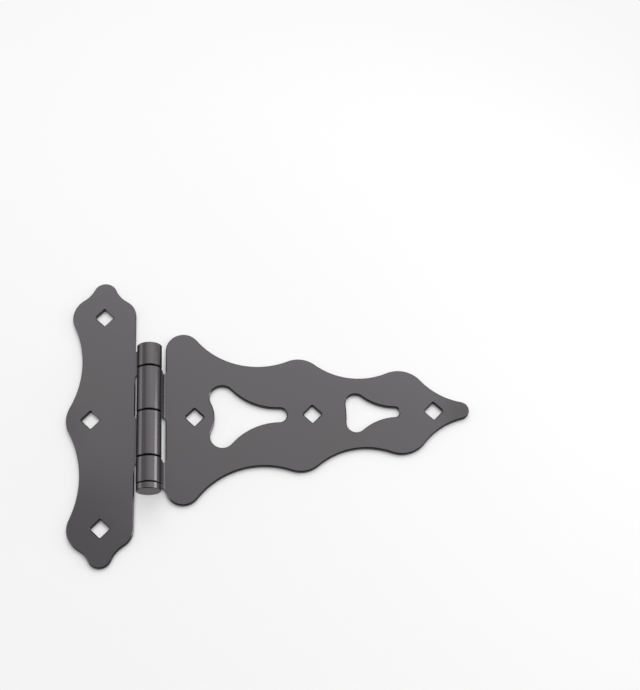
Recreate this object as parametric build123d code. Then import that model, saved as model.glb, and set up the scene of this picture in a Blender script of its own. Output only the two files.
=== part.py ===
from build123d import *
import os
from collections import namedtuple
from math import acos, cos, degrees, hypot, radians, sin, sqrt

# A tee hinge of stamped and rolled steel sheet, lying open and flat.
# The origin is on the surface that the leaves are fixed to, straight under the pin,
# on the strap's centre line. X runs from the pin to the strap's tip, Y along the pin
# and Z out of the fixing surface. Sizes are in millimetres, angles in degrees.

# Sheet and pin
sheet = 3.0
pin_radius = 4.8
pin_height = 12.4
pin_recess = 5.0
pin_end_chamfer = 0.6
head_setback = 0.1
head_gap = 0.8
head_thickness = 3.8
head_chamfer = 0.4

# Knuckles, two to a leaf: a wall up from the leaf, then a roll over the pin and back under it
running_clearance = 0.05
knuckle_gap = 0.9
long_knuckle = 29.75
far_knuckle = 15.65
near_knuckle = 16.65
wall_lean = 3.5
foot_bend = 1.2
seam_gap = 1.0
knuckle_chamfer = 0.35

# Both leaves, beside the barrel
barrel_clearance = 1.8
notch_corner = 2.0
foot_overlap = 1.5
edge_chamfer = 0.6

# Square holes for carriage bolts, set cornerwise to the strap
bolt_square = 8.5
bolt_corner = 0.6

# Strap leaf, along its centre line: pin, first hole, middle hole, last hole, tip
first_hole = 27.85
first_bay = 74.7
second_bay = 77.5
tip_reach = 22.7

# Strap outline: swellings on each side, with hollows between, and a round tip
lobe_spread = 92.8
lobe_radius = 11.05
lobe_hollow = 51.3
middle_swell_setback = 8.3
middle_swell_width = 76.2
middle_swell_radius = 17.3
middle_hollow = 45.7
outer_swell_setback = 21.6
outer_swell_width = 56.6
outer_swell_radius = 18.6
tip_hollow = 44.7
tip_radius = 5.8

# Cut-outs in the strap: two round lobes after one hole and a tail up to the next
cut_out_sizes = "lobe_setback lobe_y lobe_radius root_radius sweep_radius tail_setback tail_radius"
CutOut = namedtuple("CutOut", cut_out_sizes)
large_cut_out = CutOut(
    lobe_setback=17.5,
    lobe_y=12.9,
    lobe_radius=7.9,
    root_radius=21.1,
    sweep_radius=40.0,
    tail_setback=20.9,
    tail_radius=4.7,
)
small_cut_out = CutOut(
    lobe_setback=27.7,
    lobe_y=6.5,
    lobe_radius=6.35,
    root_radius=63.1,
    sweep_radius=33.5,
    tail_setback=25.1,
    tail_radius=3.3,
)

# Jamb leaf: a swelling at each hole and a rounded finial at each end
jamb_middle_hole = 37.35
jamb_end_hole = 29.95
jamb_bay = 70.7
finial_reach = 24.55
finial_radius = 7.6
jamb_middle_reach = 52.8
jamb_middle_radius = 19.2
jamb_side_hollow = 64.4
jamb_end_reach = 50.4
jamb_end_radius = 15.3
finial_outer_hollow = 17.4
finial_inner_hollow = 18.3
jamb_corner_radius = 11.9
jamb_corner_offset = 0.9

# Sizes and places that follow from the ones above
bore_radius = pin_radius + running_clearance
barrel_radius = bore_radius + sheet
barrel_far = long_knuckle + far_knuckle
barrel_near = long_knuckle + near_knuckle
leaf_edge = barrel_radius + barrel_clearance
lobe_y = lobe_spread / 2
middle_hole = first_hole + first_bay
last_hole = middle_hole + second_bay
strap_length = last_hole + tip_reach

Disc = namedtuple("Disc", "x y radius")


def touching(first, second, radius):
    """The disc of a given radius that touches two others, on the left of the way between them."""
    apart = hypot(second.x - first.x, second.y - first.y)
    along_x = (second.x - first.x) / apart
    along_y = (second.y - first.y) / apart
    reach_first = first.radius + radius
    reach_second = second.radius + radius
    along = (reach_first**2 - reach_second**2 + apart**2) / (2 * apart)
    across = sqrt(reach_first**2 - along**2)
    x = first.x + along * along_x - across * along_y
    y = first.y + along * along_y + across * along_x
    return Disc(x, y, radius)


def contact(first, second):
    """Where two discs touch."""
    share = first.radius / (first.radius + second.radius)
    return (first.x + share * (second.x - first.x), first.y + share * (second.y - first.y))


def half_outline(start, discs, end):
    """Tangent arcs from start to end, each along one disc, from one contact to the next."""
    points = [start] + [contact(a, b) for a, b in zip(discs, discs[1:])] + [end]
    arcs = []
    for disc, a, b in zip(discs, points, points[1:]):
        mid_x = (a[0] + b[0]) / 2 - disc.x
        mid_y = (a[1] + b[1]) / 2 - disc.y
        stretch = disc.radius / hypot(mid_x, mid_y)
        arcs.append(ThreePointArc(a, (disc.x + stretch * mid_x, disc.y + stretch * mid_y), b))
    return arcs


def mirrored_face(half):
    """A face from one half of its outline, whose ends lie on the X axis, and its mirror image."""
    return make_face([*half, *[edge.mirror(Plane.XZ) for edge in half]])


def cut_out_face(size, hole_before, hole_after):
    lobe = Disc(hole_before + size.lobe_setback, size.lobe_y, size.lobe_radius)
    tail = Disc(hole_after - size.tail_setback, 0, size.tail_radius)
    root_x = lobe.x - sqrt((lobe.radius + size.root_radius) ** 2 - lobe.y**2)
    root = Disc(root_x, 0, size.root_radius)
    sweep = touching(lobe, tail, size.sweep_radius)
    start = (root.x + root.radius, 0)
    end = (tail.x + tail.radius, 0)
    return mirrored_face(half_outline(start, [root, lobe, sweep, tail], end))


def strap_face():
    lobe = Disc(leaf_edge + lobe_radius, lobe_y, lobe_radius)
    middle_y = middle_swell_width / 2 - middle_swell_radius
    middle = Disc(middle_hole - middle_swell_setback, middle_y, middle_swell_radius)
    outer_y = outer_swell_width / 2 - outer_swell_radius
    outer = Disc(last_hole - outer_swell_setback, outer_y, outer_swell_radius)
    tip = Disc(strap_length - tip_radius, 0, tip_radius)
    discs = [
        lobe,
        touching(lobe, middle, lobe_hollow),
        middle,
        touching(middle, outer, middle_hollow),
        outer,
        touching(outer, tip, tip_hollow),
        tip,
    ]
    start = (leaf_edge, lobe_y)
    arcs = half_outline(start, discs, (strap_length, 0))
    return mirrored_face([Line((leaf_edge, 0), start), *arcs])


def jamb_face():
    middle = Disc(jamb_middle_radius - jamb_middle_reach, 0, jamb_middle_radius)
    end = Disc(jamb_end_radius - jamb_end_reach, jamb_bay, jamb_end_radius)
    finial = Disc(-jamb_end_hole, jamb_bay + finial_reach - finial_radius, finial_radius)
    corner = Disc(-leaf_edge - jamb_corner_radius, jamb_bay + jamb_corner_offset, jamb_corner_radius)
    discs = [
        middle,
        touching(middle, end, jamb_side_hollow),
        end,
        touching(end, finial, finial_outer_hollow),
        finial,
        touching(finial, corner, finial_inner_hollow),
        corner,
    ]
    finish = (-leaf_edge, corner.y)
    arcs = half_outline((-jamb_middle_reach, 0), discs, finish)
    return mirrored_face([*arcs, Line(finish, (-leaf_edge, 0))])


def stamped_plate(outline, hole_places, cut_outs):
    """A flat plate of the sheet with its holes, eased along the edges of its front."""
    bolt_hole = RectangleRounded(bolt_square, bolt_square, bolt_corner, rotation=45)
    face = outline
    for x, y in hole_places:
        face -= Pos(x, y) * bolt_hole
    for cut_out in cut_outs:
        face -= cut_out
    plate = extrude(face, sheet)
    front = plate.faces().sort_by(Axis.Z)[-1]
    return chamfer(front.edges(), edge_chamfer)


def knuckle_section():
    """The rolled end of a leaf, seen along the pin: foot, bend, wall and the roll over the pin."""
    lean = radians(wall_lean)
    bend_z = sheet + foot_bend
    bend_x = (barrel_radius + foot_bend + (pin_height - bend_z) * sin(lean)) / cos(lean)
    foot_x = leaf_edge + foot_overlap
    roll_end = -degrees(acos((bore_radius - seam_gap) / barrel_radius))
    roll_middle = (wall_lean + roll_end + 360) / 2
    wall_side = 180 + wall_lean
    bend_middle = (wall_side + 270) / 2
    bend_front = foot_bend
    bend_back = foot_bend + sheet

    def on_roll(radius, angle):
        return (radius * cos(radians(angle)), 0, pin_height + radius * sin(radians(angle)))

    def on_bend(radius, angle):
        return (bend_x + radius * cos(radians(angle)), 0, bend_z + radius * sin(radians(angle)))

    def roll_arc(radius):
        return ThreePointArc(
            on_roll(radius, wall_lean), on_roll(radius, roll_middle), on_roll(radius, roll_end)
        )

    def bend_arc(radius):
        return ThreePointArc(on_bend(radius, wall_side), on_bend(radius, bend_middle), on_bend(radius, 270))

    return make_face(
        [
            roll_arc(barrel_radius),
            Line(on_roll(barrel_radius, roll_end), on_roll(bore_radius, roll_end)),
            roll_arc(bore_radius),
            Line(on_roll(bore_radius, wall_lean), on_bend(bend_back, wall_side)),
            bend_arc(bend_back),
            Line(on_bend(bend_back, 270), (foot_x, 0, 0)),
            Line((foot_x, 0, 0), (foot_x, 0, sheet)),
            Line((foot_x, 0, sheet), on_bend(bend_front, 270)),
            bend_arc(bend_front),
            Line(on_bend(bend_front, wall_side), on_roll(barrel_radius, wall_lean)),
        ]
    )


def flared_tab(low, high):
    """The plan of a tab between two notches, with the notches' rounded corners beside it."""
    inner_x = leaf_edge - 2 * notch_corner
    flare_x = leaf_edge - notch_corner
    outer_x = leaf_edge + foot_overlap
    below = low - notch_corner
    above = high + notch_corner
    swing = notch_corner * cos(radians(45))
    return make_face(
        [
            Line((inner_x, low), (flare_x, low)),
            ThreePointArc((flare_x, low), (flare_x + swing, below + swing), (leaf_edge, below)),
            Line((leaf_edge, below), (outer_x, below)),
            Line((outer_x, below), (outer_x, above)),
            Line((outer_x, above), (leaf_edge, above)),
            ThreePointArc((leaf_edge, above), (flare_x + swing, above - swing), (flare_x, high)),
            Line((flare_x, high), (inner_x, high)),
            Line((inner_x, high), (inner_x, low)),
        ]
    )


def knuckle(low, high):
    """One rolled knuckle of a leaf on the +X side, whose foot flares into the leaf's edge."""
    section = knuckle_section()
    roll = Pos(0, low, 0) * extrude(section, high - low, dir=(0, 1, 0))
    circles = roll.edges().filter_by(GeomType.CIRCLE)
    rims = circles.filter_by(lambda edge: abs(edge.radius - barrel_radius) < 1e-6)
    roll = chamfer(rims, knuckle_chamfer)
    run_length = high - low + 2 * notch_corner
    run = Pos(0, low - notch_corner, 0) * extrude(section, run_length, dir=(0, 1, 0))
    return roll + (run & extrude(flared_tab(low, high), pin_height))


# Knuckles alternate along the pin, jamb first at the far end, with a gap at each meeting
half_gap = knuckle_gap / 2
strap_knuckles = [(half_gap, long_knuckle - half_gap), (-barrel_near, -long_knuckle - half_gap)]
jamb_knuckles = [(long_knuckle + half_gap, barrel_far), (-long_knuckle + half_gap, -half_gap)]

strap_holes = [(first_hole, 0), (middle_hole, 0), (last_hole, 0)]
strap_cut_outs = [
    cut_out_face(large_cut_out, first_hole, middle_hole),
    cut_out_face(small_cut_out, middle_hole, last_hole),
]
strap_leaf = stamped_plate(strap_face(), strap_holes, strap_cut_outs)
for low, high in strap_knuckles:
    strap_leaf += knuckle(low, high)

jamb_holes = [(-jamb_end_hole, jamb_bay), (-jamb_middle_hole, 0), (-jamb_end_hole, -jamb_bay)]
jamb_leaf = stamped_plate(jamb_face(), jamb_holes, [])
for low, high in jamb_knuckles:
    jamb_leaf += knuckle(low, high).mirror(Plane.YZ)

# The pin's head stands just off the strap's end knuckle, and its far end stops inside the jamb's
head_y = -barrel_near - head_gap
shaft = extrude(Circle(pin_radius), barrel_far - pin_recess - head_y)
shaft = chamfer(shaft.edges().sort_by(Axis.Z)[-1], pin_end_chamfer)
head = extrude(Circle(barrel_radius - head_setback), -head_thickness)
head = chamfer(head.edges().sort_by(Axis.Z)[0], head_chamfer)
hinge_pin = Pos(0, head_y, pin_height) * Rot(X=-90) * (shaft + head)

os.makedirs("parts", exist_ok=True)
export_step(strap_leaf, "parts/strap_leaf.step")
export_step(jamb_leaf, "parts/jamb_leaf.step")
export_step(hinge_pin, "parts/hinge_pin.step")
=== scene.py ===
import math

import bmesh
import bpy
from mathutils import Matrix, Vector


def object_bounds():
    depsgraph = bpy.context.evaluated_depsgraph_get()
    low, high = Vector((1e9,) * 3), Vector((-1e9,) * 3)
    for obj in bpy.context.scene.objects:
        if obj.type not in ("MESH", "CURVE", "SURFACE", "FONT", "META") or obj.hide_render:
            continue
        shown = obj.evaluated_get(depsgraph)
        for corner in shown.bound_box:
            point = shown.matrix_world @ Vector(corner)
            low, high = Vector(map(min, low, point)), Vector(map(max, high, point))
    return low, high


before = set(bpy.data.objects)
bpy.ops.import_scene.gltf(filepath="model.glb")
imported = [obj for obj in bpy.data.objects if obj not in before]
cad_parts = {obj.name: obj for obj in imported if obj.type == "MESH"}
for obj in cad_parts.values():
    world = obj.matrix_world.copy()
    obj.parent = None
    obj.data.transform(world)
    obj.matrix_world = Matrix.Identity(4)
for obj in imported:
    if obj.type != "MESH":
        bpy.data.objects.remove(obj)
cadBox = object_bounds()
print("frame loaded:", ", ".join(sorted(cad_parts)))


class Wire:
    # one value on its way through a node tree, so that maths on it reads as maths
    def __init__(self, tree, socket):
        self.tree = tree
        self.socket = socket

    def math(self, operation, *values):
        return self.tree.node("ShaderNodeMath", {"operation": operation}, dict(enumerate(values)))

    def __add__(self, other):
        return self.math("ADD", self, other)

    def __radd__(self, other):
        return self.math("ADD", other, self)

    def __sub__(self, other):
        return self.math("SUBTRACT", self, other)

    def __rsub__(self, other):
        return self.math("SUBTRACT", other, self)

    def __mul__(self, other):
        return self.math("MULTIPLY", self, other)

    def __rmul__(self, other):
        return self.math("MULTIPLY", other, self)


class Tree:
    # the node tree of a material or the world
    def __init__(self, owner):
        owner.use_nodes = True
        self.nodes = owner.node_tree.nodes
        self.links = owner.node_tree.links
        self.nodes.clear()

    def node(self, kind, settings=None, sockets=None, out=0):
        made = self.nodes.new(kind)
        for name, value in (settings or {}).items():
            setattr(made, name, value)
        for name, value in (sockets or {}).items():
            if isinstance(value, Wire):
                self.links.new(value.socket, made.inputs[name])
            else:
                made.inputs[name].default_value = value
        return Wire(self, made.outputs[out]) if made.outputs else made

    def blend(self, factor, first, second):
        return self.node(
            "ShaderNodeMix",
            {"data_type": "RGBA"},
            {"Factor": factor, "A": first, "B": second},
            out="Result",
        )

    def smooth(self, value, low, high):
        return self.node(
            "ShaderNodeMapRange",
            {"interpolation_type": "SMOOTHSTEP"},
            {"Value": value, "From Min": low, "From Max": high},
        )

    def noise(self, place, size, detail):
        return self.node(
            "ShaderNodeTexNoise",
            {"noise_dimensions": "3D"},
            {"Vector": place, "Scale": 1 / size, "Detail": detail},
        )

    def distance(self, place, centre):
        return self.node(
            "ShaderNodeVectorMath",
            {"operation": "DISTANCE"},
            {0: place, 1: centre},
            out="Value",
        )


# blackened steel: its colour is that of its mirror image, with hardly any paint-like light of its own
steelLook = {
    "black": (0.0873, 0.0827, 0.0882, 1),
    "brown": (0.0882, 0.0817, 0.0815, 1),
    "brownFrom": 0.5,  # where in the noise a brown cloud begins and where it is full
    "brownTo": 0.8,
    "cloudSize": 0.04,  # metres
    "cloudDetail": 2.0,
    "metallic": 0.92,
    "glancing": (0.72, 0.72, 0.72, 1),  # how much of the glancing shine is left
    "roughness": 0.2,
    "roughnessDrift": 0.04,
    "grainSize": 0.0007,
    "grainDetail": 1.0,
    "grainDepth": 0.000003,
}
noiseMiddle = 0.5

# colours of the painted patches: darker painted shade on the flats, and a lighter olive painted
# reflection on the pin head's end face
paintedShade = (0.058, 0.053, 0.05, 1)
paintedReflection = (0.111, 0.106, 0.096, 1)
# painted shade: a darker patch at the strap's tip
strapPaintedShade = {
    "tip": {"place": (0.201, -0.002, 0.003), "radius": 0.026, "colour": paintedShade, "paintedShare": 0.6},
}
# painted shade: darker patches on the jamb's low left, bottom and middle, where its flats mirror less
# light
jambPaintedShade = {
    "lowLeft": {"place": (-0.041, -0.058, 0.003), "radius": 0.034, "colour": paintedShade, "paintedShare": 0.2},
    "bottom": {"place": (-0.038, -0.094, 0.003), "radius": 0.03, "colour": paintedShade, "paintedShare": 0.05},
    "middle": {"place": (-0.054, -0.004, 0.003), "radius": 0.024, "colour": paintedShade, "paintedShare": 0.25},
}
# painted reflection: a lighter olive colour on the pin head's end face
pinPaintedReflection = {
    "headEnd": {"place": (0.0, -0.051, 0.0124), "radius": 0.011, "colour": paintedReflection, "paintedShare": 1.0},
}


def blackSteel(name, look, paintedPatches):
    material = bpy.data.materials.new(name)
    tree = Tree(material)
    place = tree.node("ShaderNodeTexCoord", out="Object")
    clouds = tree.noise(place, look["cloudSize"], look["cloudDetail"])
    brown = tree.smooth(clouds, look["brownFrom"], look["brownTo"])
    colour = tree.blend(brown, look["black"], look["brown"])
    # painted shade and painted reflection: near its place, each patch pulls the colour towards its
    # painted colour
    for paintedPatch in paintedPatches.values():
        away = tree.distance(place, paintedPatch["place"])
        paintedMask = paintedPatch["paintedShare"] * tree.smooth(away, paintedPatch["radius"], 0.0)
        colour = tree.blend(paintedMask, colour, paintedPatch["colour"])
    gloss = look["roughness"] + (clouds - noiseMiddle) * look["roughnessDrift"]
    grain = tree.noise(place, look["grainSize"], look["grainDetail"])
    bump = tree.node(
        "ShaderNodeBump",
        None,
        {"Strength": 1.0, "Distance": look["grainDepth"], "Height": grain},
    )
    shader = tree.node(
        "ShaderNodeBsdfPrincipled",
        None,
        {
            "Base Color": colour,
            "Roughness": gloss,
            "Metallic": look["metallic"],
            "Specular Tint": look["glancing"],
            "Normal": bump,
        },
    )
    tree.node("ShaderNodeOutputMaterial", None, {"Surface": shader})
    return material


def dress(node, paintedPatches):
    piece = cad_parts[node]
    piece.data.materials.clear()
    piece.data.materials.append(blackSteel(node + "_steel", steelLook, paintedPatches))


dress("strap_leaf", strapPaintedShade)
dress("jamb_leaf", jambPaintedShade)
dress("hinge_pin", pinPaintedReflection)
print("leaves and pin finished in black steel")


floorLook = {
    "radius": 3.0,
    "segments": 64,
    "drop": 0.0001,  # metres under the backs of the leaves
    "colour": (0.8, 0.8, 0.8, 1),
    "white": (0.939, 0.939, 0.939, 1),
    "middle": (0.07, 0.0, 0.0),
    "fadeFrom": 0.19,  # metres from the middle, where the lit floor starts to turn into plain white
    "fadeTo": 0.42,
    "veil": 0.4,  # share of plain white over the soft shadows nearby
    "contact": 0.002,  # metres round the steel where the veil thins out
    "contactSamples": 4,
    "lightSide": (0.0, 0.7, 0.7),  # it thins most where the steel hides the light from behind
}


# 1 on rays that show the background itself, straight on, mirrored or through glass
def seenRay(tree):
    camera = tree.node("ShaderNodeLightPath", out="Is Camera Ray")
    glossy = tree.node("ShaderNodeLightPath", out="Is Glossy Ray")
    through = tree.node("ShaderNodeLightPath", out="Is Transmission Ray")
    seen = camera + glossy + through
    return seen.math("MINIMUM", seen, 1.0)


def makeFloor(look):
    mesh = bpy.data.meshes.new("floor")
    shape = bmesh.new()
    bmesh.ops.create_circle(shape, cap_ends=True, segments=look["segments"], radius=look["radius"])
    bmesh.ops.translate(shape, vec=(0, 0, cadBox[0].z - look["drop"]), verts=shape.verts)
    shape.to_mesh(mesh)
    shape.free()
    floor = bpy.data.objects.new("floor", mesh)
    bpy.context.scene.collection.objects.link(floor)
    material = bpy.data.materials.new("floor_white")
    tree = Tree(material)
    lit = tree.node("ShaderNodeBsdfDiffuse", None, {"Color": look["colour"]})
    white = tree.node("ShaderNodeEmission", None, {"Color": look["white"], "Strength": 1.0})
    place = tree.node("ShaderNodeTexCoord", out="Object")
    far = tree.smooth(tree.distance(place, look["middle"]), look["fadeFrom"], look["fadeTo"])
    lightSide = tree.node("ShaderNodeCombineXYZ", None, dict(enumerate(look["lightSide"])))
    clear = tree.node(
        "ShaderNodeAmbientOcclusion",
        {"samples": look["contactSamples"]},
        {"Distance": look["contact"], "Normal": lightSide},
        out="AO",
    )
    veil = look["veil"] * clear * clear * (1 - far)
    plain = (far + veil) * seenRay(tree)
    shader = tree.node("ShaderNodeMixShader", None, {0: plain, 1: lit, 2: white})
    tree.node("ShaderNodeOutputMaterial", None, {"Surface": shader})
    mesh.materials.append(material)


makeFloor(floorLook)
print("floor laid")

cameraView = {
    "aim": (0.10941, 0.04763, 0.00314),  # where the middle of the picture meets the leaves
    "azimuth": -7.927,
    "elevation": 66.24,
    "roll": 5.91,
    "distance": 0.854,
    "lens": 68.56,
    "sensor": 36.0,
}


def fromAim(azimuth, elevation, distance):
    turn = math.radians(azimuth)
    rise = math.radians(elevation)
    away = Vector((math.sin(turn) * math.cos(rise), -math.cos(turn) * math.cos(rise), math.sin(rise)))
    return Vector(cameraView["aim"]) + away * distance


def facingAim(place):
    return (Vector(cameraView["aim"]) - place).to_track_quat("-Z", "Y").to_matrix().to_4x4()


def makeCamera(view):
    data = bpy.data.cameras.new("camera")
    data.lens = view["lens"]
    data.sensor_width = view["sensor"]
    camera = bpy.data.objects.new("camera", data)
    bpy.context.scene.collection.objects.link(camera)
    place = fromAim(view["azimuth"], view["elevation"], view["distance"])
    roll = Matrix.Rotation(math.radians(view["roll"]), 4, "Z")
    camera.matrix_world = Matrix.Translation(place) @ facingAim(place) @ roll
    bpy.context.scene.camera = camera


makeCamera(cameraView)

# azimuth 0 stands at the camera's side of the hinge and 90 beyond the strap's tip
lampLooks = {
    "softBox": {  # what the flat faces mirror
        "azimuth": 157,
        "elevation": 57,
        "distance": 1.3,
        "wide": 1.9,
        "high": 1.2,
        "radiance": 0.7,
    },
    "glow": {  # mirrored by the far side of the strap more than by the near side
        "azimuth": 154,
        "elevation": 56,
        "distance": 1.5,
        "wide": 2.0,
        "high": 0.67,
        "radiance": 0.35,
    },
    "overhead": {
        "azimuth": 0,
        "elevation": 62,
        "distance": 2.0,
        "wide": 1.6,
        "high": 1.2,
        "radiance": 0.3,
    },
    "backLight": {  # throws the soft shadows towards the camera
        "azimuth": 178,
        "elevation": 42,
        "distance": 1.6,
        "wide": 1.6,
        "high": 0.7,
        "radiance": 2.0,
    },
    "panelRight": {  # the two panels draw the bright lines along the barrel
        "azimuth": 94,
        "elevation": 22,
        "distance": 0.9,
        "wide": 0.56,
        "high": 0.45,
        "radiance": 4.5,
    },
    "panelLeft": {
        "azimuth": 272,
        "elevation": 11,
        "distance": 1.5,
        "wide": 1.4,
        "high": 0.68,
        "radiance": 1.35,
    },
}


def makeLamp(name, look):
    data = bpy.data.lights.new(name, "AREA")
    data.shape = "RECTANGLE"
    data.size = look["wide"]
    data.size_y = look["high"]
    data.energy = look["radiance"] * math.pi * look["wide"] * look["high"]
    lamp = bpy.data.objects.new(name, data)
    bpy.context.scene.collection.objects.link(lamp)
    place = fromAim(look["azimuth"], look["elevation"], look["distance"])
    lamp.matrix_world = Matrix.Translation(place) @ facingAim(place)
    lamp.visible_camera = False


for name, look in lampLooks.items():
    makeLamp(name, look)

worldLook = {
    "room": (0.82, 0.82, 0.82, 1),
    "dark": (0.08, 0.08, 0.08, 1),  # the camera's side of the room
    "darkLean": 0.9,  # how fast the dark gives way with height
    "darkFrom": -0.3,
    "darkTo": 0.6,
    "white": (0.939, 0.939, 0.939, 1),  # the backdrop, up to a little over the horizon
    "whiteFrom": 0.06,
    "whiteTo": 0.2,
}


def makeWorld(look):
    world = bpy.data.worlds.new("studio")
    bpy.context.scene.world = world
    tree = Tree(world)
    toward = tree.node("ShaderNodeTexCoord", out="Generated")
    depth = tree.node("ShaderNodeSeparateXYZ", None, {0: toward}, out="Y")
    height = tree.node("ShaderNodeSeparateXYZ", None, {0: toward}, out="Z")
    bright = tree.smooth(depth + height * look["darkLean"], look["darkFrom"], look["darkTo"])
    room = tree.blend(bright, look["dark"], look["room"])
    backdrop = (1 - tree.smooth(height, look["whiteFrom"], look["whiteTo"])) * seenRay(tree)
    light = tree.node(
        "ShaderNodeBackground",
        None,
        {"Color": tree.blend(backdrop, room, look["white"]), "Strength": 1.0},
    )
    tree.node("ShaderNodeOutputWorld", None, {"Surface": light})


makeWorld(worldLook)
bpy.context.scene.view_settings.view_transform = "Standard"
print("camera, lamps and room set")
